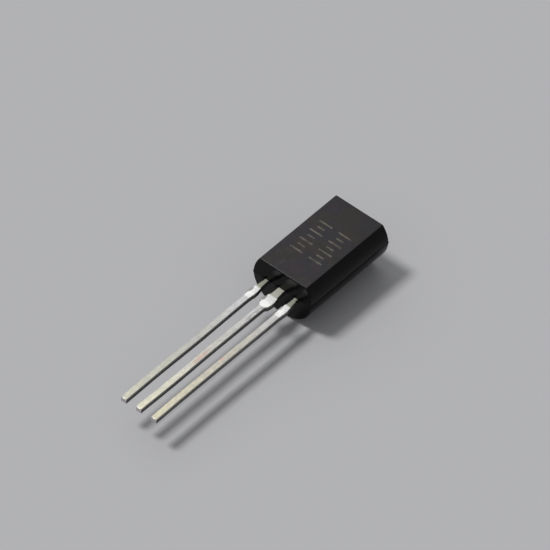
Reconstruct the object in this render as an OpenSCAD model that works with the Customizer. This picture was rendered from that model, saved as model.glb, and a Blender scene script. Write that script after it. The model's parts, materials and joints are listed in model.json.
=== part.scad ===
// Long-body TO-92 transistor: a D-shaped moulded body on a stamped three-lead
// frame, with the die and its two bond wires sealed inside.
//
// It lies on its round back with the flat marking face up. +Z points out of the
// flat face, +Y from the lead tips towards the top end of the body, and X runs
// across the lead row. The origin is the middle of the overall box, at its bottom.

/* [Moulded body] */
// Width of the body, which is the diameter of its round back
body_w = 5.0; // [4.7:0.05:5.6]
// Length of the body at its parting line
body_l = 8.0; // [7.6:0.1:10]
// Height of the flat marking face above the parting plane
front_h = 1.45; // [1.25:0.05:1.8]
// Draft of both end faces, in degrees from square
end_draft = 4; // [1:0.5:7]
// Radius along the four edges of the flat face
edge_r = 0.1; // [0.05:0.01:0.25]
// Chamfer round the rims of both end faces
rim_chamfer = 0.06; // [0.03:0.01:0.12]
// Diameter of the ejector-pin mark on the round back
ejector_d = 1.6; // [1:0.1:1.8]
// Depth of the ejector-pin mark, measured from the crown of the back
ejector_depth = 0.2; // [0.18:0.01:0.4]
// Distance from the top end of the body to the centre of the ejector-pin mark
ejector_from_top = 2.6; // [1.5:0.1:4]

/* [Mould marks] */
// Reach of the thin flash line that runs round the body at the parting plane
flash_reach = 0.03; // [0.01:0.01:0.08]
// Thickness of the flash
flash_t = 0.05; // [0.03:0.01:0.1]
// Reach of the flash webs along each lead
web_l = 0.28; // [0.1:0.02:0.5]
// Width of each flash web beside its lead
web_w = 0.25; // [0.1:0.01:0.27]
// Width of the scar that the broken gate leaves in the top end
gate_w = 1.2; // [0.6:0.1:2]
// Height of the gate scar, below the parting plane
gate_h = 0.35; // [0.2:0.05:0.6]
// Depth of the gate scar
gate_depth = 0.06; // [0.04:0.01:0.15]

/* [Leads] */
// Distance between neighbouring leads
lead_pitch = 1.27; // [1.2:0.01:1.4]
// Width of a lead beyond its dam bar
lead_w = 0.45; // [0.35:0.01:0.55]
// Thickness of the lead frame
lead_t = 0.40; // [0.3:0.01:0.5]
// Length of the leads outside the body
lead_l = 14.2; // [4:0.2:20]
// Width of an outer lead where it leaves the body
outer_root_w = 0.30; // [0.25:0.01:0.4]
// Width of an outer lead just before its dam bar
outer_neck_w = 0.42; // [0.35:0.01:0.5]
// Width of the collector lead where it leaves the body
middle_root_w = 0.58; // [0.45:0.01:0.7]
// Width of the collector lead just before its dam bar
middle_neck_w = 0.66; // [0.5:0.01:0.75]

/* [Dam bars] */
// Distance from the body to the dam bars
dam_from_body = 0.95; // [0.6:0.05:1.4]
// Length of the widened stretch at each dam bar
dam_l = 0.85; // [0.6:0.05:1.2]
// Width of an outer lead at its dam bar
outer_dam_w = 0.56; // [0.5:0.01:0.62]
// Width of the collector lead at its dam bar
middle_dam_w = 0.78; // [0.7:0.01:0.82]
// Length of the slopes before and after a dam bar
dam_slope = 0.22; // [0.1:0.02:0.3]
// Length of the sheared stubs of a dam bar, along the lead
stub_l = 0.5; // [0.3:0.05:0.6]
// Reach of the sheared stubs on the emitter side of each lead
stub_long = 0.11; // [0.05:0.01:0.13]
// Reach of the sheared stubs on the base side of each lead
stub_short = 0.04; // [0.02:0.01:0.1]

/* [Bond posts] */
// Distance from the end of the body to the bond posts
post_from_end = 1.4; // [1.2:0.05:1.6]
// Length of a bond post
post_l = 1.2; // [0.8:0.05:1.3]
// Width of a bond post
post_w = 0.95; // [0.8:0.01:1.05]
// Distance that a bond post is set outwards from its lead
post_offset = 0.10; // [0:0.01:0.14]
// Width of an outer lead inside the body, below its post
post_neck_w = 0.46; // [0.42:0.01:0.6]
// Radius of the notches that lock a post and the die pad in the moulding
lock_r = 0.11; // [0.06:0.01:0.14]

/* [Die pad] */
// Distance from the end of the body to the die pad
pad_from_end = 3.1; // [2.95:0.05:3.3]
// Length of the die pad
pad_l = 3.4; // [3:0.1:3.6]
// Width of the die pad
pad_w = 2.8; // [2.4:0.1:3.2]
// Size of the chamfers on the corners of the pad and the posts
corner_cut = 0.18; // [0.1:0.01:0.25]
// Diameter of the hole that locks the pad in the moulding
pad_hole_d = 0.8; // [0.5:0.05:0.9]
// Distance from the far edge of the pad to the centre of its hole
pad_hole_from_edge = 0.7; // [0.6:0.05:0.8]

/* [Die and wires] */
// Side of the square silicon die
die_w = 1.2; // [0.8:0.05:1.4]
// Thickness of the die
die_t = 0.25; // [0.15:0.01:0.35]
// Distance from the near edge of the pad to the centre of the die
die_from_edge = 1.2; // [1:0.05:1.3]
// Thickness of the solder under the die
solder_t = 0.04; // [0.02:0.01:0.08]
// Reach of the solder past each side of the die
solder_margin = 0.08; // [0.04:0.01:0.15]
// Diameter of the bond wires
wire_d = 0.05; // [0.03:0.005:0.08]
// Diameter of the bonds at both ends of a wire
bond_d = 0.12; // [0.1:0.01:0.16]
// Height of a bond
bond_h = 0.03; // [0.02:0.005:0.05]
// Rise of each wire loop above its higher end
loop_h = 0.35; // [0.2:0.05:0.5]

/* [Hidden] */
$fn = 96;

// Levels above the surface that the part lies on
back_r = body_w / 2;
parting_z = back_r;
flat_z = parting_z + front_h;
lead_z = parting_z - lead_t;
solder_top = parting_z + solder_t;
die_top = solder_top + die_t;

// The lead end of the body is at y = 0 in every module, and this centres the whole
body_shift = (lead_l - body_l) / 2;

// Run of the draft from the parting plane to the flat face and to the crown
front_run = front_h * tan(end_draft);
back_run = back_r * tan(end_draft);

// Rounded edges of the flat face: their centre across the body and along it
edge_x = sqrt(pow(back_r - edge_r, 2) - pow(front_h - edge_r, 2));
edge_y = (front_h - edge_r) * tan(end_draft) + edge_r / cos(end_draft);
edge_z = flat_z - edge_r;
// Number of flats that make a rounded edge, and how many radii its waste reaches out
corner_flats = 5;
waste_reach = 3;

// Places along the lead frame
dam_start = -dam_from_body;
dam_end = dam_start - dam_l;
dam_middle = (dam_start + dam_end) / 2;
pad_far = pad_from_end + pad_l;
die_y = pad_from_end + die_from_edge;
post_end = post_from_end + post_l;

// Places of the bonds: each wire lands in the middle of its post
bond_off = die_w / 4;
post_x = lead_pitch + post_offset;
post_y = post_from_end + post_l / 2;

// Bond wire: number of sides of its section and of steps along its loop
wire_sides = 8;
wire_steps = 14;

cut_extra = 1;

// ---- Moulded body ----------------------------------------------------------

// Waste outside a rounded corner of an outline. The arc about centre runs from
// angle a to angle b in a few flats, and the first and the last flat run on
// past the corner's sides
module corner_waste(centre, r, a, b) {
    flats = [for (i = [0:corner_flats])
        let (turn = a + (b - a) * i / corner_flats)
        centre + r * [cos(turn), sin(turn)]];
    before = 2 * flats[0] - flats[1];
    after = 2 * flats[corner_flats] - flats[corner_flats - 1];
    middle = (a + b) / 2;
    outside = centre + waste_reach * r * [cos(middle), sin(middle)];
    polygon(concat([outside, before], flats, [after]));
}

// Section across the body, as seen from the leads: round back and flat face
module cross_section() {
    side_angle = atan2(edge_z - parting_z, edge_x);
    difference() {
        intersection() {
            translate([0, parting_z]) circle(back_r);
            translate([-body_w, -cut_extra]) square([2 * body_w, flat_z + cut_extra]);
        }
        corner_waste([edge_x, edge_z], edge_r, side_angle, 90);
        mirror([1, 0]) corner_waste([edge_x, edge_z], edge_r, side_angle, 90);
    }
}

// Outline of the side view: both end faces lean in from the parting plane
module side_view() {
    difference() {
        polygon([[0, parting_z], [front_run, flat_z], [body_l - front_run, flat_z],
                 [body_l, parting_z], [body_l - back_run, 0], [back_run, 0]]);
        corner_waste([edge_y, edge_z], edge_r, 90, 180 - end_draft);
        translate([body_l, 0]) mirror([1, 0])
            corner_waste([edge_y, edge_z], edge_r, 90, 180 - end_draft);
    }
}

// Wide cone that opens from just inside the rim of an end face, square to it.
// What lies outside it is the small chamfer on the rim. It starts a little way
// outside the face, so that the two cross
module rim_cone(lean) {
    start = rim_chamfer / 2;
    start_r = back_r - rim_chamfer - start;
    reach = 2 * body_l;
    translate([0, 0, parting_z]) rotate([lean - 90, 0, 0]) translate([0, 0, -start])
        cylinder(r1 = start_r, r2 = start_r + reach, h = reach);
}

// The body as one mould half leaves it. The back half lies below the parting
// plane and its ends lean one way, and those of the front half the other way
module mould_half(bottom, top, lean) {
    intersection() {
        translate([0, body_l, 0]) rotate([90, 0, 0]) linear_extrude(body_l) cross_section();
        rotate([90, 0, 90]) linear_extrude(2 * body_w, center = true) side_view();
        rim_cone(lean);
        translate([0, body_l, 0]) mirror([0, 1, 0]) rim_cone(lean);
        translate([-body_w, -cut_extra, bottom])
            cube([2 * body_w, body_l + 2 * cut_extra, top - bottom]);
    }
}

// Web of flash on both sides of one lead, whose half width is half_w
module flash_web(half_w) {
    for (side = [0, 1]) {
        mirror([side, 0])
            polygon([[0, flash_reach], [half_w + web_w, flash_reach], [half_w + web_w, -flash_reach],
                     [half_w + web_w / 2, -web_l], [0, -web_l]]);
    }
}

// Flash that squeezed out between the mould halves
module parting_flash() {
    translate([0, 0, parting_z - flash_t]) linear_extrude(flash_t) {
        translate([-back_r - flash_reach, -flash_reach])
            square([body_w + 2 * flash_reach, body_l + 2 * flash_reach]);
        translate([-lead_pitch, 0]) flash_web(outer_root_w / 2);
        flash_web(middle_root_w / 2);
        translate([lead_pitch, 0]) flash_web(outer_root_w / 2);
    }
}

module ejector_mark() {
    translate([0, body_l - ejector_from_top, ejector_depth - cut_extra])
        cylinder(d = ejector_d, h = cut_extra);
}

module gate_scar() {
    translate([-gate_w / 2, body_l - gate_depth, parting_z - gate_h])
        cube([gate_w, cut_extra, gate_h]);
}

module moulded_body() {
    color("#2e2d2f") translate([0, body_shift, 0]) difference() {
        union() {
            mould_half(-cut_extra, parting_z, end_draft);
            mould_half(parting_z, flat_z + cut_extra, -end_draft);
            parting_flash();
        }
        ejector_mark();
        gate_scar();
        outer_lead(-1);
        middle_lead();
        outer_lead(1);
        solder_layer();
        die_block();
        bond_wire(-1);
        bond_wire(1);
    }
}

// ---- Lead frame ------------------------------------------------------------

// Outline that is symmetric about the Y axis, from a list of [y, half width]
module strip(stations) {
    right = [for (s = stations) [s[1], s[0]]];
    left = [for (i = [len(stations) - 1:-1:0]) [-stations[i][1], stations[i][0]]];
    polygon(concat(right, left));
}

// The lead outside the body: square tip, dam bar and the neck up to the body
module outside_strip(root_w, neck_w, dam_w) {
    strip([[-lead_l, lead_w / 2], [dam_end - dam_slope, lead_w / 2], [dam_end, dam_w / 2],
           [dam_start, dam_w / 2], [dam_start + dam_slope, neck_w / 2], [0, root_w / 2]]);
    // Stubs of the dam bar, left where it was sheared off
    translate([-dam_w / 2 - stub_long, dam_middle - stub_l / 2])
        square([dam_w + stub_long + stub_short, stub_l]);
}

// Pair of round notches at height y in the edges of a strip
module lock_notches(y, half_w) {
    for (side = [-1, 1]) {
        translate([side * half_w, y]) circle(lock_r);
    }
}

// Rectangle with its corners cut off, centred on the Y axis
module cut_corner_plate(w, y_near, y_far) {
    strip([[y_near, w / 2 - corner_cut], [y_near + corner_cut, w / 2],
           [y_far - corner_cut, w / 2], [y_far, w / 2 - corner_cut]]);
}

// Emitter (side = -1) or base (side = 1) lead with its bond post
module outer_lead(side) {
    translate([side * lead_pitch, 0, lead_z]) linear_extrude(lead_t) {
        outside_strip(outer_root_w, outer_neck_w, outer_dam_w);
        difference() {
            strip([[0, outer_root_w / 2], [corner_cut, post_neck_w / 2],
                   [post_end - corner_cut, post_neck_w / 2]]);
            lock_notches(post_from_end / 2, post_neck_w / 2);
        }
        translate([side * post_offset, 0]) cut_corner_plate(post_w, post_from_end, post_end);
    }
}

// Collector lead with the die pad
module middle_lead() {
    translate([0, 0, lead_z]) linear_extrude(lead_t) {
        outside_strip(middle_root_w, middle_neck_w, middle_dam_w);
        difference() {
            union() {
                strip([[0, middle_root_w / 2], [pad_from_end + corner_cut, middle_root_w / 2]]);
                cut_corner_plate(pad_w, pad_from_end, pad_far);
            }
            lock_notches(post_from_end / 2, middle_root_w / 2);
            lock_notches(die_y, pad_w / 2);
            translate([0, pad_far - pad_hole_from_edge]) circle(d = pad_hole_d);
        }
    }
}

module emitter_lead() {
    color("#c9c8c2") translate([0, body_shift, 0]) outer_lead(-1);
}

module collector_lead() {
    color("#c9c8c2") translate([0, body_shift, 0]) middle_lead();
}

module base_lead() {
    color("#c9c8c2") translate([0, body_shift, 0]) outer_lead(1);
}

// ---- Die and bond wires ----------------------------------------------------

module solder_layer() {
    side = die_w + 2 * solder_margin;
    translate([-side / 2, die_y - side / 2, parting_z]) cube([side, side, solder_t]);
}

module die_block() {
    translate([-die_w / 2, die_y - die_w / 2, solder_top]) cube([die_w, die_w, die_t]);
}

// Centre of the wire at t = 0 on the die to t = 1 on the post: a loop that
// leaves and lands square
function loop_point(from, to, t) =
    from + (to - from) * (1 - cos(180 * t)) / 2 + [0, 0, loop_h * sin(180 * t)];

function unit(v) = v / norm(v);

// Ring of points about centre. The wire lies in the upright plane that holds
// along, and heading is its direction there
function ring(centre, heading, across, r) =
    [for (i = [0:wire_sides - 1])
        let (a = 360 * (i + 0.5) / wire_sides)
        centre + r * (cos(a) * cross(across, heading) + sin(a) * across)];

// Emitter (side = -1) or base (side = 1) wire, from the die to the bond post
module bond_wire(side) {
    from = [side * bond_off, die_y - bond_off, die_top + bond_h];
    to = [side * post_x, post_y, parting_z + bond_h];
    across = unit(cross([0, 0, 1], [to[0] - from[0], to[1] - from[1], 0]));
    up = [0, 0, 1];
    step = 1 / (2 * wire_steps);
    loop_rings = [for (i = [0:wire_steps])
        let (t = i / wire_steps)
        let (heading = unit(loop_point(from, to, t + step) - loop_point(from, to, t - step)))
        ring(loop_point(from, to, t), i == 0 ? up : i == wire_steps ? -up : heading,
             across, wire_d / 2)];
    rings = concat(
        [ring(from - bond_h * up, up, across, bond_d / 2), ring(from, up, across, bond_d / 2)],
        loop_rings,
        [ring(to, -up, across, bond_d / 2), ring(to - bond_h * up, -up, across, bond_d / 2)]);
    last = len(rings) - 1;
    sides = [for (k = [0:last - 1], i = [0:wire_sides - 1])
        let (j = (i + 1) % wire_sides, a = k * wire_sides, b = a + wire_sides)
        each [[a + i, b + i, b + j], [a + i, b + j, a + j]]];
    polyhedron(
        points = [for (r = rings) each r],
        faces = concat(
            [[for (i = [0:wire_sides - 1]) i]],
            sides,
            [[for (i = [wire_sides - 1:-1:0]) last * wire_sides + i]]));
}

module die_attach_solder() {
    color("#9a9ea3") translate([0, body_shift, 0]) solder_layer();
}

module silicon_die() {
    color("#4a5468") translate([0, body_shift, 0]) die_block();
}

module emitter_bond_wire() {
    color("#d9a441") translate([0, body_shift, 0]) bond_wire(-1);
}

module base_bond_wire() {
    color("#d9a441") translate([0, body_shift, 0]) bond_wire(1);
}

moulded_body();
emitter_lead();
collector_lead();
base_lead();
die_attach_solder();
silicon_die();
emitter_bond_wire();
base_bond_wire();
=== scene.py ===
# %% [markdown]
# # A long-body TO-92 transistor
#
# The object is a small black plastic package with one flat face, a round back and
# three straight tinned legs, lying on its round back. All of it is only 22 mm long.
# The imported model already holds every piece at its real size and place, so this
# lesson adds what a solid can't carry: softened edges, the marks of the mould and
# of the press tool, and surfaces that answer to light as the real ones do.
#
# Blender works in metres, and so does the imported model. The sizes below are given
# in millimetres, times MM, because that is how a maker of such parts thinks.

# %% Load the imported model
import json
import math
import random

import bmesh
import bpy
from mathutils import Matrix, Vector

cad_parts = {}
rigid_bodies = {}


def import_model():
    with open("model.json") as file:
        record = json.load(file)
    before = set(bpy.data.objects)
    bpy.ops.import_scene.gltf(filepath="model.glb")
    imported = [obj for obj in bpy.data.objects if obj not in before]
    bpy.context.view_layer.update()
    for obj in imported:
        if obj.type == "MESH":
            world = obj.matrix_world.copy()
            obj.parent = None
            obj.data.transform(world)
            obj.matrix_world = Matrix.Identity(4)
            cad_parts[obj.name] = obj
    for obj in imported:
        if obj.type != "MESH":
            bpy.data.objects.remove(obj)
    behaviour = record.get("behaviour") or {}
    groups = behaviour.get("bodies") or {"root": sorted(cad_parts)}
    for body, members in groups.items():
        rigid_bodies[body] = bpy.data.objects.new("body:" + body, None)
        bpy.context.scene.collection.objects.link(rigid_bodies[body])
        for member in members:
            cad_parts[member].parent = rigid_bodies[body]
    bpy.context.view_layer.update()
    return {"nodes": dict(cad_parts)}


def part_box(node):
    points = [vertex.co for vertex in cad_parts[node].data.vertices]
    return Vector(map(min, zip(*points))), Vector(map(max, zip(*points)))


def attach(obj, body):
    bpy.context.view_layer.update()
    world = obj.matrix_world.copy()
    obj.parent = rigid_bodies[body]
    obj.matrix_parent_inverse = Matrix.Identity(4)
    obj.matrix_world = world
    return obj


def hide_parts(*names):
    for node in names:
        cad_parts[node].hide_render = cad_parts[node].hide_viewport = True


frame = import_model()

MM = 0.001
print("packed nodes:", ", ".join(sorted(frame["nodes"])))

# %% [markdown]
# ## Where things are
#
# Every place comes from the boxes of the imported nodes, so that the pieces made here
# keep to the solids they stand for. Two sizes can't be read from a box: how long
# the body is without its flash, and how far the flash stands out.

# %% Read the main sizes from the frame
body_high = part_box("moulded_body")[1]
lead_low, lead_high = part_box("collector_lead")
flash_reach = 0.03 * MM
body_length = 8.0 * MM
back_radius = body_high.x - flash_reach
flat_z = body_high.z
parting_z = lead_high.z
body_top_y = body_high.y - flash_reach
body_end_y = body_top_y - body_length
print("round back radius in mm:", round(back_radius / MM, 3))
print("body from y =", round(body_end_y / MM, 3), "to", round(body_top_y / MM, 3), "mm")

# %% [markdown]
# ## The camera
#
# The camera comes first, because every later choice is judged through it. It is a
# very long lens from half a metre away, which keeps the legs nearly parallel. It is
# placed by how far it is turned round the object, how high it stands and how far
# off it is, and it is rolled by a degree or two, as a hand-held camera is.

# %% Place the camera
camera_azimuth = 39.81
camera_elevation = 46.91
camera_roll = 1.64
camera_distance = 535.3 * MM
camera_target = Vector((-1.318, 3.97, 2.233)) * MM

camera_data = bpy.data.cameras.new("camera")
camera_data.sensor_width = 36.0
camera_data.lens = 529.6
camera_data.clip_start = 0.01
camera_data.clip_end = 20.0
camera = bpy.data.objects.new("camera", camera_data)
bpy.context.scene.collection.objects.link(camera)
bpy.context.scene.camera = camera


def direction(azimuth, elevation):
    """The direction of something seen from the object, in degrees: 0 is in front."""
    swing, rise = math.radians(azimuth), math.radians(elevation)
    return Vector((math.sin(swing) * math.cos(rise), -math.cos(swing) * math.cos(rise),
                   math.sin(rise)))


towards_camera = direction(camera_azimuth, camera_elevation)
camera.location = camera_target + camera_distance * towards_camera
aim = (-towards_camera).to_track_quat("-Z", "Y").to_matrix()
camera.rotation_euler = (aim @ Matrix.Rotation(math.radians(camera_roll), 3, "Z")).to_euler()
print("camera at", [round(c / MM, 1) for c in camera.location], "mm")

# %% [markdown]
# ## The floor and the light
#
# A plain pale floor catches a soft shadow and tells how the object lies. Both lamps
# are suns with a wide disc: like a large softbox such a sun gives soft shadows, and
# unlike one it doesn't fade with distance, so the floor stays even. The key light on
# the left makes the shadow. The back light is weak and wide, and stands where flat
# metal mirrors it to the camera: it gives the legs their sheen, where a strong lamp
# would burn them out to white.
#
# The world fills the shadows. Light Path shows it paler to the camera and in
# reflections than it is as a lamp, so the backdrop is pale without more light.

# %% Lay the floor
def link_object(name, data):
    """Put new mesh or lamp data into the scene as an object."""
    made = bpy.data.objects.new(name, data)
    bpy.context.scene.collection.objects.link(made)
    return made


pale = (0.45, 0.45, 0.46, 1.0)
floor_size = 4.0
floor_mesh = bpy.data.meshes.new("floor")
floor_bm = bmesh.new()
bmesh.ops.create_grid(floor_bm, x_segments=1, y_segments=1, size=floor_size / 2)
floor_bm.to_mesh(floor_mesh)
floor_bm.free()
floor = link_object("floor", floor_mesh)

floor_material = bpy.data.materials.new("pale floor")
floor_material.use_nodes = True
floor_shader = floor_material.node_tree.nodes["Principled BSDF"]
floor_shader.inputs["Base Color"].default_value = pale
floor_shader.inputs["Roughness"].default_value = 0.9
floor_shader.inputs["Specular IOR Level"].default_value = 0.1
floor_mesh.materials.append(floor_material)
print("floor:", floor_size, "m square, at z = 0")

# %% Set the lamps
def sun(name, energy, disc_degrees, azimuth, elevation):
    """A sun lamp that shines from a direction round the object."""
    data = bpy.data.lights.new(name, "SUN")
    data.energy = energy
    data.angle = math.radians(disc_degrees)
    lamp = link_object(name, data)
    lamp.rotation_euler = direction(azimuth, elevation).to_track_quat("Z", "Y").to_euler()
    return lamp


key = sun("key", 2.0, 13, 295, 60)
back_light = sun("back light", 0.34, 52, 228, 48)
print("lamps:", key.name, "and", back_light.name)

# %% Set the world
world = bpy.data.worlds.new("studio")
bpy.context.scene.world = world
world.use_nodes = True
sky = world.node_tree
sky.nodes.clear()
fill = sky.nodes.new("ShaderNodeBackground")
fill.inputs["Color"].default_value = (0.97, 0.98, 1.0, 1.0)
fill.inputs["Strength"].default_value = 0.36
backdrop = sky.nodes.new("ShaderNodeBackground")
backdrop.inputs["Color"].default_value = pale
backdrop.inputs["Strength"].default_value = 1.0
path = sky.nodes.new("ShaderNodeLightPath")
seen = sky.nodes.new("ShaderNodeMath")
seen.operation = "MAXIMUM"
sky.links.new(path.outputs["Is Camera Ray"], seen.inputs[0])
sky.links.new(path.outputs["Is Glossy Ray"], seen.inputs[1])
seen_or_through = sky.nodes.new("ShaderNodeMath")
seen_or_through.operation = "MAXIMUM"
sky.links.new(seen.outputs[0], seen_or_through.inputs[0])
sky.links.new(path.outputs["Is Transmission Ray"], seen_or_through.inputs[1])
choose = sky.nodes.new("ShaderNodeMixShader")
sky.links.new(seen_or_through.outputs[0], choose.inputs[0])
sky.links.new(fill.outputs[0], choose.inputs[1])
sky.links.new(backdrop.outputs[0], choose.inputs[2])
out = sky.nodes.new("ShaderNodeOutputWorld")
sky.links.new(choose.outputs[0], out.inputs["Surface"])
bpy.context.scene.view_settings.view_transform = "Standard"
print("world set, view transform", bpy.context.scene.view_settings.view_transform)

# %% [markdown]
# ## Helpers for the shapes
#
# A mesh is made in a bmesh and turned into an object once. Its faces are shaded
# smooth, edges sharper than 35 degrees are kept sharp, and a Weighted Normal
# modifier lets the large faces decide the shading. Without it a small bevel would
# bend the light on the whole flat face next to it.

# %% Helpers for meshes
CUT_SNAP = 0.0005 * MM
SMOOTH_BELOW_DEGREES = 35


def finish_piece(name, bm, materials, slot, *nodes):
    """Make the object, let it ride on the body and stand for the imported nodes."""
    mesh = bpy.data.meshes.new(name)
    bm.to_mesh(mesh)
    bm.free()
    for material in materials:
        mesh.materials.append(material)
    mesh.polygons.foreach_set("use_smooth", [True] * len(mesh.polygons))
    mesh.set_sharp_from_angle(angle=math.radians(SMOOTH_BELOW_DEGREES))
    piece = link_object(name, mesh)
    weighted = piece.modifiers.new("even shading", "WEIGHTED_NORMAL")
    weighted.keep_sharp = True
    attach(piece, "root")
    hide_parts(*nodes)
    return piece


def open_edges(bm):
    """Count the edges that don't join exactly two faces. A closed shell has none."""
    return sum(1 for edge in bm.edges if len(edge.link_faces) != 2)


def cut(bm, place, normal, faces=None):
    """Cut some faces, or all, where a plane crosses them. Nothing is removed."""
    chosen = bm.faces[:] if faces is None else faces
    edges = {edge for face in chosen for edge in face.edges}
    corners = {vert for face in chosen for vert in face.verts}
    bmesh.ops.bisect_plane(bm, geom=[*chosen, *edges, *corners], dist=CUT_SNAP,
                           plane_co=place, plane_no=normal)


def corners_of(result):
    """The new corners among the geometry that an operator returns."""
    return [item for item in result if isinstance(item, bmesh.types.BMVert)]


print("mesh helpers ready")

# %% [markdown]
# ## The moulded body
#
# The real body is epoxy, pressed into a two-part mould round the metal frame. Its
# section is a circle with the front cut off flat. It could be carved from a solid
# with booleans, but a moulded shape is easier to grow the way its mould was cut: a
# disc is sliced at the flat face and extruded to the length of the body, and then
# its ends are leaned.

# %% Grow the D-shaped block
back_facets = 192


def slice_of_body():
    """A disc across the body at its lead end, cut off at the flat face."""
    bm = bmesh.new()
    bmesh.ops.create_circle(bm, cap_ends=True, segments=back_facets, radius=back_radius)
    bmesh.ops.rotate(bm, verts=bm.verts, matrix=Matrix.Rotation(math.radians(90), 3, "X"))
    bmesh.ops.translate(bm, verts=bm.verts, vec=(0, body_end_y, parting_z))
    bmesh.ops.bisect_plane(bm, geom=[*bm.verts, *bm.edges, *bm.faces], dist=CUT_SNAP,
                           plane_co=(0, 0, flat_z), plane_no=(0, 0, 1), clear_outer=True)
    return bm


body_bm = slice_of_body()
grown = bmesh.ops.extrude_face_region(body_bm, geom=body_bm.faces[:])
bmesh.ops.translate(body_bm, verts=corners_of(grown["geom"]), vec=(0, body_length, 0))
bmesh.ops.recalc_face_normals(body_bm, faces=body_bm.faces)
print("block:", len(body_bm.faces), "faces,", open_edges(body_bm), "open edges")

# %% [markdown]
# The mould opens along the parting plane, at the front of the metal frame, and a
# part only leaves a mould whose walls lean a little. So both ends lean in by 4
# degrees from that plane, upwards to the flat face and downwards to the round back.
# A shear matrix does that: it slides each corner along Y by a share of its height.

# %% Lean the ends, as the mould does
draft_degrees = 4
draft = math.tan(math.radians(draft_degrees))
flash_thickness = 0.05 * MM
flash_low_z = parting_z - flash_thickness
cut(body_bm, (0, 0, parting_z), (0, 0, 1))
cut(body_bm, (0, 0, flash_low_z), (0, 0, 1))


def lean(bm, end_y, above, slope):
    """Shear the corners of one end that lie above, or below, the parting plane."""
    corners = [vert for vert in bm.verts if abs(vert.co.y - end_y) < back_radius
               and (vert.co.z > parting_z) == above]
    shear = Matrix.Identity(4)
    shear[1][2] = slope
    hinge = Matrix.Translation((0, end_y, parting_z))
    bmesh.ops.transform(bm, verts=corners, matrix=hinge @ shear @ hinge.inverted())


lean(body_bm, body_end_y, True, draft)
lean(body_bm, body_end_y, False, -draft)
lean(body_bm, body_top_y, True, -draft)
lean(body_bm, body_top_y, False, draft)
print("ends leaned by", round(draft * (flat_z - parting_z) / MM, 3), "mm at the flat face")

# %% [markdown]
# A mould has no knife edges, because its corners are cut with a tool that has a
# radius of its own. The rims of both ends and the long edges of the flat face are
# rounded in one bevel, so that the corners where they meet come out whole. Bevel
# picks its edges by the angle between their two faces: the facets of the round back
# meet at 2 degrees, and the real edges at 50 or more.

# %% Round the edges
edge_radius = 0.08 * MM
edge_steps = 4
REAL_EDGE_DEGREES = 30


def sharp_edges(bm, least_degrees):
    """The edges whose two faces turn by more than an angle."""
    least = math.radians(least_degrees)
    return [edge for edge in bm.edges if edge.is_manifold and edge.calc_face_angle() > least]


def round_off(bm, edges, radius, segments):
    """Bevel some edges to a round."""
    bmesh.ops.bevel(bm, geom=edges, affect="EDGES", offset_type="OFFSET", offset=radius,
                    segments=segments, profile=0.5, clamp_overlap=True, material=-1)


round_off(body_bm, sharp_edges(body_bm, REAL_EDGE_DEGREES), edge_radius, edge_steps)
print("after the bevel:", len(body_bm.faces), "faces,", open_edges(body_bm), "open edges")

# %% [markdown]
# ### The gate
#
# The epoxy flows in through a gate in the top end, just under the parting plane. It
# is broken off afterwards, and leaves a shallow torn rectangle. Its outline is cut
# into the end face, inset downwards for the sunken step, and its floor is divided
# and shaken a little for the torn surface. The shape has to be the same in each run.
# So the random numbers have a fixed seed, and they are dealt out to the corners in
# the order of their places, because a bevel may number them anew each time.

# %% Choose faces and corners by their places
EDGE_SLACK = 0.002 * MM


def faces_within(bm, low, high):
    """The faces whose corners all lie in a box, give or take a hair."""
    slack = Vector((EDGE_SLACK, EDGE_SLACK, EDGE_SLACK))
    near, far = Vector(low) - slack, Vector(high) + slack
    return [face for face in bm.faces
            if all(near[i] <= vert.co[i] <= far[i] for vert in face.verts for i in range(3))]


def by_place(corners):
    """Corners in the order of their places, to the nearest EDGE_SLACK."""
    return sorted(corners, key=lambda vert: [round(c / EDGE_SLACK) for c in vert.co])


random.seed(4)
print("faces and corners are chosen to within", round(EDGE_SLACK / MM, 3), "mm")

# %% Tear the gate scar
gate_half_width = 0.6 * MM
gate_low_z = parting_z - 0.35 * MM
gate_depth = 0.05 * MM
gate_taper = 0.02 * MM
gate_cuts = 9
gate_tear_mm = 0.012
gate_reach_y = body_top_y - 0.1 * MM
top_end_reach_y = body_top_y - 0.2 * MM

top_end = faces_within(body_bm, (-back_radius, top_end_reach_y, 0),
                       (back_radius, body_top_y, parting_z))
cut(body_bm, (0, 0, gate_low_z), (0, 0, 1), top_end)
for side in (-1, 1):
    gate_rows = faces_within(body_bm, (-back_radius, gate_reach_y, gate_low_z),
                             (back_radius, body_top_y, parting_z))
    cut(body_bm, (side * gate_half_width, 0, 0), (1, 0, 0), gate_rows)
gate_faces = faces_within(body_bm, (-gate_half_width, gate_reach_y, gate_low_z),
                          (gate_half_width, body_top_y, parting_z))
bmesh.ops.inset_region(body_bm, faces=gate_faces, thickness=gate_taper, depth=-gate_depth,
                       use_even_offset=True)
gate_edges = list({edge for face in gate_faces for edge in face.edges})
torn = bmesh.ops.subdivide_edges(body_bm, edges=gate_edges, cuts=gate_cuts,
                                  use_grid_fill=True)
for corner in by_place(corners_of(torn["geom_inner"])):
    corner.co.y += random.uniform(-gate_tear_mm, gate_tear_mm) * MM
print("gate scar:", len(gate_faces), "faces divided,", open_edges(body_bm), "open edges")

# %% [markdown]
# ### The flash
#
# Where the two halves of the mould close, a thin line of epoxy squeezes out all
# round the body. Beside each leg the mould has a little more room, and a thin web of
# epoxy runs a short way along the leg. Both start from the band of faces between the
# two cuts at the parting plane. It is divided first, so that the line can waver and
# the webs have their own faces. The webs start beside the necks of the legs, which
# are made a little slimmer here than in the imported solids.

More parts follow.
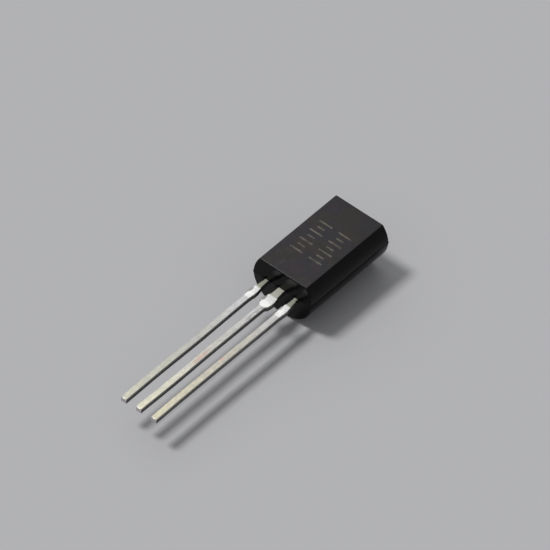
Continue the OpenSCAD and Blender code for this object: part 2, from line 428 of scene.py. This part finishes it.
# %% Divide the flash band
flash_step = 0.35 * MM
end_band_y = body_end_y + 0.03 * MM
web_width = 0.25 * MM
web_length = 0.28 * MM
leg_pitch = 1.27 * MM
leg_places = {"emitter_lead": -leg_pitch, "collector_lead": 0.0, "base_lead": leg_pitch}
neck_share = 0.87
outer_root = neck_share * 0.15 * MM
middle_root = neck_share * 0.29 * MM
root_half_widths = {"emitter_lead": outer_root, "collector_lead": middle_root,
                    "base_lead": outer_root}


def flash_band(low_y, high_y):
    """The faces of the outer skin between the two cuts of the parting line."""
    return [face for face in faces_within(body_bm, (-back_radius, low_y, flash_low_z),
                                          (back_radius, high_y, parting_z))
            if abs(face.normal.z) < 0.5]


for step in range(1, int(body_length / flash_step)):
    cut(body_bm, (0, body_end_y + step * flash_step, 0), (0, 1, 0),
        flash_band(body_end_y, body_top_y))
for leg, place in leg_places.items():
    for side in (-1, 1):
        for reach in (root_half_widths[leg], root_half_widths[leg] + web_width):
            cut(body_bm, (place + side * reach, 0, 0), (1, 0, 0),
                flash_band(body_end_y, end_band_y))
print("flash band:", len(flash_band(body_end_y, body_top_y)), "faces")

# %% [markdown]
# Each face of the band now has a use. Those beside a leg become webs, those behind a
# leg and at the gate stay as they are, and the rest become the line. The line is
# inset outwards as one region, and its corners move in and out a little.

# %% Raise the flash line
line_taper = 0.006 * MM
line_waver = 0.012 * MM
body_middle_y = (body_end_y + body_top_y) / 2


def beside_leg(face):
    """How far a face lies outside the nearest leg, and 0 or less where it is behind it."""
    middle = face.calc_center_median()
    return min(abs(middle.x - place) - root_half_widths[leg]
               for leg, place in leg_places.items())


def outwards(corner):
    """The way out of the body at the flash line: sideways or lengthwise."""
    if abs(corner.x) > back_radius:
        return Vector((math.copysign(1, corner.x), 0, 0))
    return Vector((0, math.copysign(1, corner.y - body_middle_y), 0))


end_band = flash_band(body_end_y, end_band_y)
gate_band = [face for face in flash_band(gate_reach_y, body_top_y)
             if abs(face.calc_center_median().x) < gate_half_width]
web_faces = [face for face in end_band if 0 < beside_leg(face) < web_width]
covered_faces = [face for face in end_band if beside_leg(face) < 0]
kept_flat = {*web_faces, *covered_faces, *gate_band}
line_faces = [face for face in flash_band(body_end_y, body_top_y) if face not in kept_flat]
bmesh.ops.inset_region(body_bm, faces=line_faces, thickness=line_taper,
                       depth=flash_reach - line_taper, use_even_offset=True)
for corner in by_place({vert for face in line_faces for vert in face.verts}):
    corner.co += outwards(corner.co) * (line_taper - random.uniform(0, 1) * line_waver)
print("flash line:", len(line_faces), "faces,", open_edges(body_bm), "open edges")

# %% Draw out the webs beside the legs
web_taper = 0.5
shortest_web = 0.6
for face in sorted(web_faces, key=lambda face: face.calc_center_median().x):
    leg_x = min(leg_places.values(), key=lambda x: abs(x - face.calc_center_median().x))
    drawn = bmesh.ops.extrude_face_region(body_bm, geom=[face])
    tips = corners_of(drawn["geom"])
    at_leg = min((vert.co.x for vert in tips), key=lambda x: abs(x - leg_x))
    length = web_length * random.uniform(shortest_web, 1.0)
    for vert in tips:
        vert.co.y -= length
        vert.co.x = at_leg + (vert.co.x - at_leg) * web_taper
        vert.co.z = parting_z + (vert.co.z - parting_z) * web_taper
bmesh.ops.delete(body_bm, geom=web_faces, context="FACES_KEEP_BOUNDARY")
print("webs:", len(web_faces), "and", open_edges(body_bm), "open edges")

# %% [markdown]
# ### The ejector mark
#
# A pin pushes the part out of the mould, and its flat end leaves a round dimple in
# the round back. A flat-bottomed hole in a curved skin is awkward to draw with cuts,
# and simple as a boolean: the shape of the pin is taken away from the body.

# %% Press the ejector mark
pin_radius = 0.8 * MM
pin_depth = 0.2 * MM
pin_from_top = 2.6 * MM
pin_facets = 96
pin_y = body_top_y - pin_from_top


def temporary(name, bm):
    """An object that is only needed for a moment."""
    mesh = bpy.data.meshes.new(name)
    bm.to_mesh(mesh)
    return link_object(name, mesh)


def carve(bm, tool_bm):
    """Take the tool's shape away from a bmesh."""
    blank = temporary("blank", bm)
    tool = temporary("tool", tool_bm)
    boolean = blank.modifiers.new("carve", "BOOLEAN")
    boolean.operation = "DIFFERENCE"
    boolean.solver = "EXACT"
    boolean.object = tool
    carved = blank.evaluated_get(bpy.context.evaluated_depsgraph_get())
    bm.clear()
    bm.from_mesh(carved.to_mesh())
    for helper in (blank, tool):
        bpy.data.objects.remove(helper)


pin_bm = bmesh.new()
bmesh.ops.create_cone(pin_bm, cap_ends=True, segments=pin_facets, radius1=pin_radius,
                      radius2=pin_radius, depth=2 * pin_depth)
bmesh.ops.translate(pin_bm, verts=pin_bm.verts, vec=(0, pin_y, 0))
carve(body_bm, pin_bm)
pin_bm.free()
print("ejector mark:", len(body_bm.faces), "faces,", open_edges(body_bm), "open edges")

# %% [markdown]
# ## Helpers for the finishes
#
# All the finishes are built from nodes on Object coordinates, so that a pattern has
# its real size and stays with the piece. A Mapping node divides the coordinates by
# the size of one spot, and may pull the spots out into streaks.

# %% Node helpers
def new_finish(name):
    """A material with its node tree and its main shader."""
    material = bpy.data.materials.new(name)
    material.use_nodes = True
    return material, material.node_tree, material.node_tree.nodes["Principled BSDF"]


def add(tree, kind, sockets=None, **settings):
    """Add a node. A socket takes a value, or the output of another node."""
    made = tree.nodes.new(kind)
    for setting, value in settings.items():
        setattr(made, setting, value)
    for socket, value in (sockets or {}).items():
        if isinstance(value, bpy.types.NodeSocket):
            tree.links.new(value, made.inputs[socket])
        else:
            made.inputs[socket].default_value = value
    return made


def grain(tree, size, stretch=(1, 1, 1), detail=2.0, turn=0.0, shift=0.0):
    """Noise with spots of a size in metres, pulled out along the axes by stretch."""
    place = add(tree, "ShaderNodeTexCoord").outputs["Object"]
    mapped = add(tree, "ShaderNodeMapping", {
        "Vector": place, "Location": (shift, shift, shift), "Rotation": (0, 0, turn),
        "Scale": [1 / (size * pull) for pull in stretch]}).outputs[0]
    return add(tree, "ShaderNodeTexNoise",
               {"Vector": mapped, "Scale": 1.0, "Detail": detail}).outputs["Fac"]


def spread(tree, value, low, high, to_low=0.0, to_high=1.0):
    """Map a range of values onto another, and clamp what lies outside."""
    return add(tree, "ShaderNodeMapRange", {
        "Value": value, "From Min": low, "From Max": high,
        "To Min": to_low, "To Max": to_high}).outputs[0]


def blend(tree, share, first, second, way="MIX"):
    """Mix two colours."""
    return add(tree, "ShaderNodeMix", {0: share, 6: first, 7: second},
               data_type="RGBA", blend_type=way).outputs[2]


def ramp(tree, value, stops):
    """Colours along a value. stops is a list of (place, colour)."""
    made = add(tree, "ShaderNodeValToRGB", {0: value})
    while len(made.color_ramp.elements) < len(stops):
        made.color_ramp.elements.new(0.5)
    for element, (place, colour) in zip(made.color_ramp.elements, stops):
        element.position = place
        element.color = (*colour, 1.0)
    return made.outputs[0]


def spot(tree, centre, half_sizes):
    """A soft oval mask at a place on the object."""
    place = add(tree, "ShaderNodeTexCoord").outputs["Object"]
    scale = [1 / size for size in half_sizes]
    moved = [-c / size for c, size in zip(centre, half_sizes)]
    mapped = add(tree, "ShaderNodeMapping", {"Vector": place, "Location": moved,
                                             "Scale": scale}).outputs[0]
    length = add(tree, "ShaderNodeVectorMath", {0: mapped}, operation="LENGTH").outputs["Value"]
    return spread(tree, length, 0.5, 1.0, 1.0, 0.0)


def calculate(tree, operation, *values):
    """One Math node."""
    return add(tree, "ShaderNodeMath", dict(enumerate(values)), operation=operation).outputs[0]


def bump(tree, height, depth, below=None):
    """Raise the surface by up to depth, in metres, where height is 1."""
    sockets = {"Height": height, "Distance": depth}
    if below is not None:
        sockets["Normal"] = below
    return add(tree, "ShaderNodeBump", sockets).outputs[0]


print("node helpers ready")

# %% [markdown]
# ## The epoxy
#
# The moulding epoxy is black resin filled with fine silica. It has two finishes here.
# The mould is spark-eroded at the marking face, which comes out satin, a little
# greyer, and blotched with browns and purples where the filler lies near the skin.
# The other walls of the mould are polished, and print a glossy black. Only the flash
# is dull there: it squeezed out between the halves and broke off at its rim.
#
# A real part is marked in thin worn ink on the flat. This one carries no name or
# number: two rows of plain ticks, long and short by turns, take their place. A tick
# is a mask made of comparisons on the coordinates, and noise wears it away.

# %% Rows of plain ticks
tick_start_y = body_end_y + 2.3 * MM
tick_pitch = 0.5 * MM
tick_width = 0.13 * MM
long_tick = 1.1 * MM
short_tick = 0.6 * MM
ticks_in_row = 7
first_row_x = -0.8 * MM
second_row_x = 0.85 * MM


def tick_row(tree, across, along, row_x):
    """A mask that is 1 on a row of plain ticks, long and short by turns."""
    from_start = calculate(tree, "SUBTRACT", along, tick_start_y)
    steps = calculate(tree, "DIVIDE", from_start, tick_pitch)
    past_tick = calculate(tree, "FRACT", steps)
    on_tick = calculate(tree, "LESS_THAN", past_tick, tick_width / tick_pitch)
    is_short = calculate(tree, "MODULO", calculate(tree, "FLOOR", steps), 2.0)
    reach = spread(tree, is_short, 0, 1, long_tick / 2, short_tick / 2)
    in_reach = calculate(tree, "COMPARE", across, row_x, reach)
    in_row = calculate(tree, "COMPARE", steps, ticks_in_row / 2, ticks_in_row / 2)
    return calculate(tree, "MULTIPLY", calculate(tree, "MULTIPLY", on_tick, in_reach), in_row)


print("tick rows:", ticks_in_row, "ticks each, at", round(tick_pitch / MM, 2), "mm")

# %% Satin epoxy, for the marking face
filler_grey = (0.05, 0.047, 0.045, 1)
painted_shade_tone = (0.62, 0.60, 0.61, 1)
painted_light_place = (-1.2 * MM, body_end_y + MM, flat_z)
painted_light_size = (5 * MM, 9 * MM, 9 * MM)
smear_grey = (0.044, 0.040, 0.042, 1)
smear_place = (0, body_end_y + 1.4 * MM, flat_z)
smear_size = (3.4 * MM, 2.6 * MM, 3 * MM)

satin, tree, shader = new_finish("satin epoxy")
blotches = ramp(tree, grain(tree, 1.5 * MM, detail=3.0), [
    (0.32, (0.026, 0.019, 0.025)), (0.45, (0.017, 0.017, 0.021)),
    (0.55, (0.025, 0.019, 0.019)), (0.68, (0.017, 0.018, 0.015))])
filler = spread(tree, grain(tree, 0.05 * MM, detail=1.0), 0.62, 0.75)
skin = blend(tree, calculate(tree, "MULTIPLY", filler, 0.35), blotches, filler_grey)
# Painted shade: away from a place near the lead end, the flat is multiplied down towards 0.62 of
# its tone, darkest at the far end of the body.
painted_shade_mask = calculate(tree, "SUBTRACT", 1.0, spot(tree, painted_light_place, painted_light_size))
shaded = blend(tree, painted_shade_mask, skin, painted_shade_tone, "MULTIPLY")
smear_grain = grain(tree, 0.45 * MM, (1, 1.8, 1), detail=5.0, turn=0.5, shift=5.0)
smears = spread(tree, smear_grain, 0.5, 0.72)
near_leads = spot(tree, smear_place, smear_size)
smeared = calculate(tree, "MULTIPLY", smears, calculate(tree, "MULTIPLY", near_leads, 0.45))
greyed = blend(tree, smeared, shaded, smear_grey)
print("satin epoxy, before its ink:", len(tree.nodes), "nodes")

# %% Ink and relief of the marking face
faded_ink = (0.135, 0.12, 0.097, 1)
ink_wobble = 0.012 * MM

wobble = spread(tree, grain(tree, 0.06 * MM, detail=2.0), 0.3, 0.7, -ink_wobble, ink_wobble)
place = add(tree, "ShaderNodeTexCoord").outputs["Object"]
axes = add(tree, "ShaderNodeSeparateXYZ", {0: place})
across = calculate(tree, "ADD", axes.outputs["X"], wobble)
along = calculate(tree, "ADD", axes.outputs["Y"], wobble)
first_row = tick_row(tree, across, along, first_row_x)
second_row = tick_row(tree, across, along, second_row_x)
rows = calculate(tree, "MAXIMUM", first_row, second_row)
wear_and_shade = spread(tree, grain(tree, 0.35 * MM, detail=4.0, shift=3.0), 0.35, 0.65, 0.25, 0.9)
ink = calculate(tree, "MULTIPLY", rows, wear_and_shade)
tree.links.new(blend(tree, ink, greyed, faded_ink), shader.inputs["Base Color"])
satin_gloss = spread(tree, grain(tree, 0.5 * MM, detail=4.0, shift=7.0), 0.3, 0.7, 0.42, 0.56)
tree.links.new(satin_gloss, shader.inputs["Roughness"])
eroded = bump(tree, grain(tree, 0.06 * MM, detail=3.0, shift=1.0), 0.004 * MM)
scratches = spread(tree, grain(tree, 0.03 * MM, (1, 40, 1), turn=0.9), 0.66, 0.7)
scratched = bump(tree, scratches, -0.001 * MM, eroded)
tree.links.new(scratched, shader.inputs["Normal"])
shader.inputs["Specular IOR Level"].default_value = 0.25
print("satin epoxy:", len(tree.nodes), "nodes")

# %% Polished epoxy, for the ends and the round back
deep_black = (0.0025, 0.0025, 0.003)
warm_black = (0.0045, 0.004, 0.005)
speck_grey = (0.03, 0.028, 0.027, 1)
flash_middle_z = parting_z - 0.025 * MM
dull_half_height = 0.04 * MM

polished, tree, shader = new_finish("polished epoxy")
smudges = grain(tree, 0.9 * MM, (1, 1.6, 1), detail=4.0)
black = ramp(tree, smudges, [(0.3, deep_black), (0.7, warm_black)])
specks = spread(tree, grain(tree, 0.045 * MM, detail=1.0, shift=2.0), 0.68, 0.76, 0.0, 0.5)
tree.links.new(blend(tree, specks, black, speck_grey), shader.inputs["Base Color"])
place = add(tree, "ShaderNodeTexCoord").outputs["Object"]
height = add(tree, "ShaderNodeSeparateXYZ", {0: place}).outputs["Z"]
in_flash = calculate(tree, "COMPARE", height, flash_middle_z, dull_half_height)
gloss = spread(tree, smudges, 0.35, 0.7, 0.12, 0.24)
dulled_gloss = calculate(tree, "MAXIMUM", gloss, calculate(tree, "MULTIPLY", in_flash, 0.6))
tree.links.new(dulled_gloss, shader.inputs["Roughness"])
orange_peel = bump(tree, grain(tree, 0.35 * MM, detail=1.0), 0.0012 * MM)
polishing = bump(tree, grain(tree, 0.02 * MM, (1, 60, 1), detail=1.0), 0.0002 * MM, orange_peel)
tree.links.new(polishing, shader.inputs["Normal"])
shader.inputs["Specular IOR Level"].default_value = 0.1
print("polished epoxy:", len(tree.nodes), "nodes")

# %% Finish the body
POLISHED = 0
SATIN = 1


def sort_faces(bm, index, test):
    """Give a material's number to the faces that pass a test."""
    chosen = [face for face in bm.faces if test(face)]
    for face in chosen:
        face.material_index = index
    return chosen


body_bm.normal_update()
near_flat_z = flat_z - 0.03 * MM
sort_faces(body_bm, POLISHED, lambda face: True)
flat_faces = sort_faces(body_bm, SATIN, lambda face: face.normal.z > 0.9
                        and face.calc_center_median().z > near_flat_z)
body = finish_piece("epoxy_body", body_bm, [polished, satin], "epoxy_body", "moulded_body")
print("body:", len(body.data.polygons), "faces, of which satin:", len(flat_faces))

# %% [markdown]
# ## The tin
#
# The legs are copper alloy with a coat of tin. The strip was rolled, so its faces
# carry fine lines along the leg, and the tin over them is silvery with faint warm
# and cool tints. Where the dam bar was pressed flat and sheared, the tin is
# burnished and nearly white, but for the left stub, which is painted a dull grey:
# painted shade, where the bent stub tilts away from the light.
#
# One finish serves all three legs. It reads how far along a leg, and on which leg, a
# point lies, so each tint has its place: the tints are blended one over the other,
# and a soft mask says where each of them shows.

# %% Where the dam bar was
dam_near_y = body_end_y - 0.87 * MM
dam_far_y = dam_near_y - 1.15 * MM
dam_middle_y = body_end_y - 1.32 * MM
dam_blur = 0.12 * MM
dam_half_widths = {"emitter_lead": 0.28 * MM, "collector_lead": 0.39 * MM,
                   "base_lead": 0.28 * MM}


def between(tree, value, low, high, blur):
    """A mask that is 1 between two values, with soft edges."""
    rise_up = spread(tree, value, low - blur / 2, low + blur / 2)
    fall = spread(tree, value, high - blur / 2, high + blur / 2, 1.0, 0.0)
    return calculate(tree, "MULTIPLY", rise_up, fall)


print("dam bar from y =", round(dam_far_y / MM, 2), "to", round(dam_near_y / MM, 2), "mm")

# %% The tints of the tin
cool_shade = (0.80, 0.81, 0.83, 1)
warm_shade = (0.90, 0.87, 0.81, 1)
copper = (0.68, 0.46, 0.37, 1)
tint_wander = 1.2 * MM
cool_place = (leg_places["emitter_lead"], -9 * MM, parting_z)
cool_size = (1.2 * MM, 9 * MM, 9 * MM)
warm_place = (leg_places["base_lead"], -8 * MM, parting_z)
warm_size = (1.2 * MM, 10 * MM, 9 * MM)
long_copper_place = (0.05 * MM, -5.0 * MM, parting_z)
long_copper_size = (0.2 * MM, 1.1 * MM, MM)
small_copper_place = (1.2 * MM, -4.2 * MM, parting_z)
small_copper_size = (0.15 * MM, 0.3 * MM, MM)

tin, tree, shader = new_finish("tin plate")
place = add(tree, "ShaderNodeTexCoord").outputs["Object"]
axes = add(tree, "ShaderNodeSeparateXYZ", {0: place})
tint_grain = grain(tree, 1.3 * MM, (1, 1.5, 1))
tint_shift = spread(tree, tint_grain, 0.3, 0.7, -tint_wander, tint_wander)
tint_place = calculate(tree, "ADD", axes.outputs["Y"], tint_shift)
tints = ramp(tree, spread(tree, tint_place, lead_low.y, body_end_y), [
    (0.0, (0.90, 0.87, 0.68)), (0.3, (0.80, 0.78, 0.65)), (0.45, (0.72, 0.70, 0.63)),
    (0.6, (0.66, 0.65, 0.59)), (0.8, (0.68, 0.67, 0.67)), (1.0, (0.68, 0.67, 0.61))])
cooled = blend(tree, spot(tree, cool_place, cool_size), tints, cool_shade, "MULTIPLY")
warmer = blend(tree, spot(tree, warm_place, warm_size), cooled, warm_shade, "MULTIPLY")
copper_show = calculate(tree, "MAXIMUM", spot(tree, long_copper_place, long_copper_size),
                        spot(tree, small_copper_place, small_copper_size))
warmed = blend(tree, calculate(tree, "MULTIPLY", copper_show, 0.7), warmer, copper)
print("tints of the tin:", len(tree.nodes), "nodes")

# %% Mottles and painted shade
mottle_grey = (0.32, 0.32, 0.31, 1)
slope_shade_grey = (0.28, 0.28, 0.27, 1)
slope_shade_place = (0.13 * MM, 0.1 * MM, parting_z)
slope_shade_size = (0.2 * MM, 2.6 * MM, MM)

mottle_grain = grain(tree, 0.16 * MM, (1, 2, 1), detail=4.0, shift=4.0)
mottles = spread(tree, mottle_grain, 0.35, 0.68, 0.4, 0.0)
mottled = blend(tree, mottles, warmed, mottle_grey)
# Painted shade: the right half of the middle leg near the body is greyed in broken patches,
# where its top slopes away from the light.
slope_shade_spot = spot(tree, slope_shade_place, slope_shade_size)
shade_breakup = spread(tree, grain(tree, 0.14 * MM, (1, 3, 1), detail=4.0, shift=9.0), 0.42, 0.52)
wear_and_shade = calculate(tree, "MULTIPLY", slope_shade_spot, calculate(tree, "MULTIPLY", shade_breakup, 0.55))
slope_shaded = blend(tree, wear_and_shade, mottled, slope_shade_grey)
print("with the wear:", len(tree.nodes), "nodes")

# %% [markdown]
# The necks between the dam bar and the body are rougher, and are painted darker,
# the outer ones more than the middle one: painted shade and a painted reflection of
# the black end of the body. The dam bar itself is the brightest place of a leg.

# %% Dam bars, stubs and necks
middle_neck_painted_shade = (0.60, 0.59, 0.51, 1)
outer_neck_painted_shade = (0.42, 0.42, 0.35, 1)
burnished_tin = (0.95, 0.95, 0.93, 1)
stub_shade_grey = (0.38, 0.38, 0.35, 1)
stub_shade_size = (0.19 * MM, 0.38 * MM, MM)

dam = between(tree, axes.outputs["Y"], dam_far_y, dam_near_y, dam_blur)
dam_wear = spread(tree, grain(tree, 0.2 * MM), 0.3, 0.6, 0.75, 1.0)
worn_dam = calculate(tree, "MULTIPLY", dam, dam_wear)
# Painted shade and a painted reflection of the black body end, on the necks.
neck = spread(tree, axes.outputs["Y"], dam_near_y - 0.05 * MM, dam_near_y + 0.1 * MM)
outer = spread(tree, calculate(tree, "ABSOLUTE", axes.outputs["X"]), 0.5 * MM, 0.8 * MM)
neck_painted_shade = blend(tree, outer, middle_neck_painted_shade, outer_neck_painted_shade)
neck_shaded = blend(tree, neck, slope_shaded, neck_painted_shade)
whitened = blend(tree, worn_dam, neck_shaded, burnished_tin)
# Painted shade on the left stub of each dam bar, which tilts away from the light.
stub_shades = [spot(tree, (leg_places[leg] - half_width, dam_middle_y, parting_z), stub_shade_size)
             for leg, half_width in dam_half_widths.items()]
stub_shade = calculate(tree, "MAXIMUM", stub_shades[0], calculate(tree, "MAXIMUM", *stub_shades[1:]))
greyed = blend(tree, stub_shade, whitened, stub_shade_grey)
print("with the dam bars:", len(tree.nodes), "nodes")

# %% Rolling lines, gloss and relief of the tin
line_grey = (0.2, 0.2, 0.19, 1)
gloss_fade_low = dam_near_y - 0.7 * MM
gloss_fade_high = dam_near_y - 0.3 * MM

lines = grain(tree, 0.025 * MM, (1, 60, 1), detail=3.0)
lined = blend(tree, spread(tree, lines, 0.35, 0.65, 0.14, 0.0), greyed, line_grey)
tree.links.new(lined, shader.inputs["Base Color"])
shader.inputs["Metallic"].default_value = 1.0
tarnish = grain(tree, 0.4 * MM, (1, 3, 1), detail=4.0)
dull = spread(tree, tarnish, 0.3, 0.7, 0.26, 0.38)
near_body = spread(tree, axes.outputs["Y"], gloss_fade_low, gloss_fade_high, 0.0, 0.3)
tree.links.new(calculate(tree, "ADD", dull, near_body), shader.inputs["Roughness"])
rolled = bump(tree, lines, 0.001 * MM)
dented = bump(tree, grain(tree, 0.5 * MM, (1, 2, 1)), 0.006 * MM, rolled)
tree.links.new(dented, shader.inputs["Normal"])
print("tin plate:", len(tree.nodes), "nodes")

# %% [markdown]
# The sides were cut by the press tool: the punch burnishes a bright band at the top
# of the cut, and the metal below it tears. That torn part is rough and dark, with
# lines that run in the direction of the cut. The colours of the sides are partly the
# dull cut metal and partly painted shade: they are darker than cut metal is. The tips
# were cut later, when the part left the strip, and are still bright.

# %% Sheared metal, for the sides and the cut tips
burnish_low = parting_z - 0.15 * MM
burnish_blur = 0.02 * MM
torn_shade = 0.6


def sheared_finish(name, bright, torn):
    """Burnished above and torn below, with lines along the way the punch went."""
    material, tree, shader = new_finish(name)
    place = add(tree, "ShaderNodeTexCoord").outputs["Object"]
    height = add(tree, "ShaderNodeSeparateXYZ", {0: place}).outputs["Z"]
    ragged = spread(tree, grain(tree, 0.12 * MM), 0.3, 0.7, -0.05 * MM, 0.05 * MM)
    burnished = spread(tree, calculate(tree, "ADD", height, ragged),
                       burnish_low - burnish_blur, burnish_low + burnish_blur)
    lines = grain(tree, 0.03 * MM, (1, 1, 10), detail=3.0)
    torn_dark = [c * torn_shade for c in torn[:3]] + [1]
    torn_tone = blend(tree, spread(tree, lines, 0.35, 0.65), torn, torn_dark)
    tree.links.new(blend(tree, burnished, torn_tone, bright), shader.inputs["Base Color"])
    tree.links.new(spread(tree, burnished, 0, 1, 0.55, 0.32), shader.inputs["Roughness"])
    shader.inputs["Metallic"].default_value = 1.0
    tree.links.new(bump(tree, lines, 0.004 * MM), shader.inputs["Normal"])
    return material


# Painted shade: the side colours are set darker than cut metal is, over the dull cut.
sheared = sheared_finish("sheared side", (0.30, 0.30, 0.285, 1), (0.15, 0.147, 0.14, 1))
cut_tip = sheared_finish("cut tip", (0.84, 0.81, 0.82, 1), (0.72, 0.67, 0.67, 1))
print("sheared finishes:", sheared.name, "and", cut_tip.name)

# %% [markdown]
# ## The legs
#
# The three legs are stamped from one strip. A bar joined them during moulding, to
# dam the epoxy, and was sheared away: it leaves the wider stretch and small stubs.
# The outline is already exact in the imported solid, so each leg starts as a copy of
# it. Such a copy is loose triangles: merging its corners and dissolving its flat
# faces brings back the few faces that a bevel needs.

# %% Copy and clean a leg
inner_bevel_end = body_end_y + 0.3 * MM
flat_within = math.radians(0.5)


def copy_of_node(node):
    """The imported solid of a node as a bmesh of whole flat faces."""
    bm = bmesh.new()
    bm.from_mesh(frame["nodes"][node].data)
    bmesh.ops.remove_doubles(bm, verts=bm.verts, dist=CUT_SNAP)
    bmesh.ops.dissolve_limit(bm, angle_limit=flat_within, verts=bm.verts, edges=bm.edges)
    cut(bm, (0, inner_bevel_end, 0), (0, 1, 0))
    return bm


leg_bms = {leg: copy_of_node(leg) for leg in leg_places}
for leg, bm in leg_bms.items():
    print(leg, "copied:", len(bm.faces), "faces,", open_edges(bm), "open edges")

# %% [markdown]
# A punch pulls the top edge of the metal down with it, which rounds it, and leaves
# the bottom edge sharp with a trace of burr. So the rim of the front face gets a
# wide bevel, and the rim of the back face a narrow one.

# %% Round the stamped edges
die_roll = 0.07 * MM
die_roll_steps = 4
burr_round = 0.012 * MM


def rim_edges(bm, height):
    """The outline's edges at one height, outside the body and just into it."""
    return [edge for edge in sharp_edges(bm, REAL_EDGE_DEGREES)
            if all(abs(vert.co.z - height) < EDGE_SLACK
                   and vert.co.y < inner_bevel_end + EDGE_SLACK for vert in edge.verts)
            and any(vert.co.y < inner_bevel_end - EDGE_SLACK for vert in edge.verts)]


for leg, bm in leg_bms.items():
    round_off(bm, rim_edges(bm, parting_z), die_roll, die_roll_steps)
    round_off(bm, rim_edges(bm, lead_low.z), burr_round, 1)
    print(leg, "rounded:", len(bm.faces), "faces,", open_edges(bm), "open edges")

# %% [markdown]
# The stubs of the dam bar were bent down a little as they were sheared. The necks
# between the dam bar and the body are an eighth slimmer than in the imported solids,
# and so are the dam bars of the outer legs: their corners are moved inwards.

# %% Bend the stubs and draw in the necks
stub_drop = 0.35
above_back_z = lead_low.z + 0.1 * MM
before_dam_y = body_end_y - 2.02 * MM
after_dam_y = body_end_y - 0.95 * MM
drawn_from = {"emitter_lead": before_dam_y, "collector_lead": after_dam_y,
              "base_lead": before_dam_y}
draw_slope = 0.22 * MM


def bend_stubs(bm, place, dam_half_width):
    """Lower the front corners of a stub, the more the farther out they are."""
    for side in (-1, 1):
        cut(bm, (place + side * dam_half_width, 0, 0), (1, 0, 0))
    for vert in bm.verts:
        past_dam = abs(vert.co.x - place) - dam_half_width
        if past_dam > 0 and vert.co.y < body_end_y and vert.co.z > above_back_z:
            vert.co.z -= stub_drop * past_dam


def draw_in(bm, place, start_y):
    """Narrow a leg from a place on its length up to the body."""
    for vert in bm.verts:
        drawn = (vert.co.y - start_y) / draw_slope
        if 0 < drawn and vert.co.y < inner_bevel_end - EDGE_SLACK:
            share = 1 - (1 - neck_share) * min(1.0, drawn)
            vert.co.x = place + (vert.co.x - place) * share


for leg, bm in leg_bms.items():
    bend_stubs(bm, leg_places[leg], dam_half_widths[leg])
    draw_in(bm, leg_places[leg], drawn_from[leg])
    print(leg, "shaped:", len(bm.faces), "faces,", open_edges(bm), "open edges")

# %% [markdown]
# No stamped leg is dead straight. Each leans sideways by a few hundredths of a
# millimetre where it leaves the body. It is also cut across into short stretches,
# which wander by a hundredth, just enough for the light to play on them.

# %% Let the legs lean and wander
leans = {"emitter_lead": -0.02 * MM, "collector_lead": 0.02 * MM, "base_lead": 0.05 * MM}
lean_start = 0.3 * MM
wander_start = 2 * MM
wander_step = 0.25 * MM
wander_reach = 0.012 * MM
wander_wave = 3.1 * MM


def wander(bm, place, sideways):
    """Lean a leg, and move each stretch of it sideways and down by a smooth wave."""
    stretches = int((body_end_y - lead_low.y) / wander_step)
    for step in range(1, stretches):
        cut(bm, (0, lead_low.y + step * wander_step, 0), (0, 1, 0))
    for vert in bm.verts:
        free = max(0.0, body_end_y - vert.co.y)
        share = min(1.0, free / wander_start)
        lean_share = min(1.0, free / lean_start)
        phase = vert.co.y / wander_wave + place / MM
        vert.co.x += share * wander_reach * math.sin(2 * phase) + sideways * lean_share
        vert.co.z += share * wander_reach * (math.sin(3 * phase) - 1)


for leg, bm in leg_bms.items():
    wander(bm, leg_places[leg], leans[leg])
    print(leg, "leans by", round(leans[leg] / MM, 2), "mm,", open_edges(bm), "open edges")

# %% [markdown]
# Each face takes its finish by the way it points: tin on the rolled faces, sheared
# metal on the sides, and the cut finish on the tip.

# %% Finish the legs
TIN = 0
SHEARED = 1
CUT = 2
STEEP = 0.6
tip_reach_y = lead_low.y + 0.1 * MM
leg_names = {"emitter_lead": "left_leg", "collector_lead": "middle_leg",
             "base_lead": "right_leg"}
for leg, bm in leg_bms.items():
    bm.normal_update()
    sort_faces(bm, TIN, lambda face: True)
    sort_faces(bm, SHEARED, lambda face: abs(face.normal.z) < STEEP)
    sort_faces(bm, CUT, lambda face: face.normal.y < -STEEP
               and face.calc_center_median().y < tip_reach_y)
    made = finish_piece(leg_names[leg], bm, [tin, sheared, cut_tip], "tinned_lead", leg)
    print(made.name, "has", len(made.data.polygons), "faces")

# %% [markdown]
# ## Inside the body
#
# The solder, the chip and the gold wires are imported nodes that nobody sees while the
# body is whole. Their shapes are right as they are, and each gets a finish of its
# own in place of the plain colour that it came with.

# %% Finishes for the hidden pieces
def plain_metal(name, light, dark, grain_size, roughness):
    """A metal with soft tones between two colours."""
    material, tree, shader = new_finish(name)
    tones = grain(tree, grain_size, detail=3.0)
    tree.links.new(ramp(tree, tones, [(0.35, dark), (0.65, light)]), shader.inputs["Base Color"])
    tree.links.new(spread(tree, tones, 0.3, 0.7, roughness, roughness + 0.12),
                   shader.inputs["Roughness"])
    tree.links.new(bump(tree, tones, 0.004 * MM), shader.inputs["Normal"])
    shader.inputs["Metallic"].default_value = 1.0
    return material


solder = plain_metal("dull solder", (0.58, 0.59, 0.60), (0.46, 0.47, 0.49), 0.15 * MM, 0.4)
gold = plain_metal("drawn gold", (0.90, 0.66, 0.28), (0.80, 0.55, 0.20), 0.05 * MM, 0.2)
silicon = plain_metal("polished silicon", (0.22, 0.25, 0.31), (0.17, 0.20, 0.26), 0.3 * MM, 0.1)
inside = {"die_attach_solder": solder, "silicon_die": silicon,
          "emitter_bond_wire": gold, "base_bond_wire": gold}
for node, finish in inside.items():
    for material_slot in frame["nodes"][node].material_slots:
        material_slot.material = finish
    print(node, "has", finish.name)
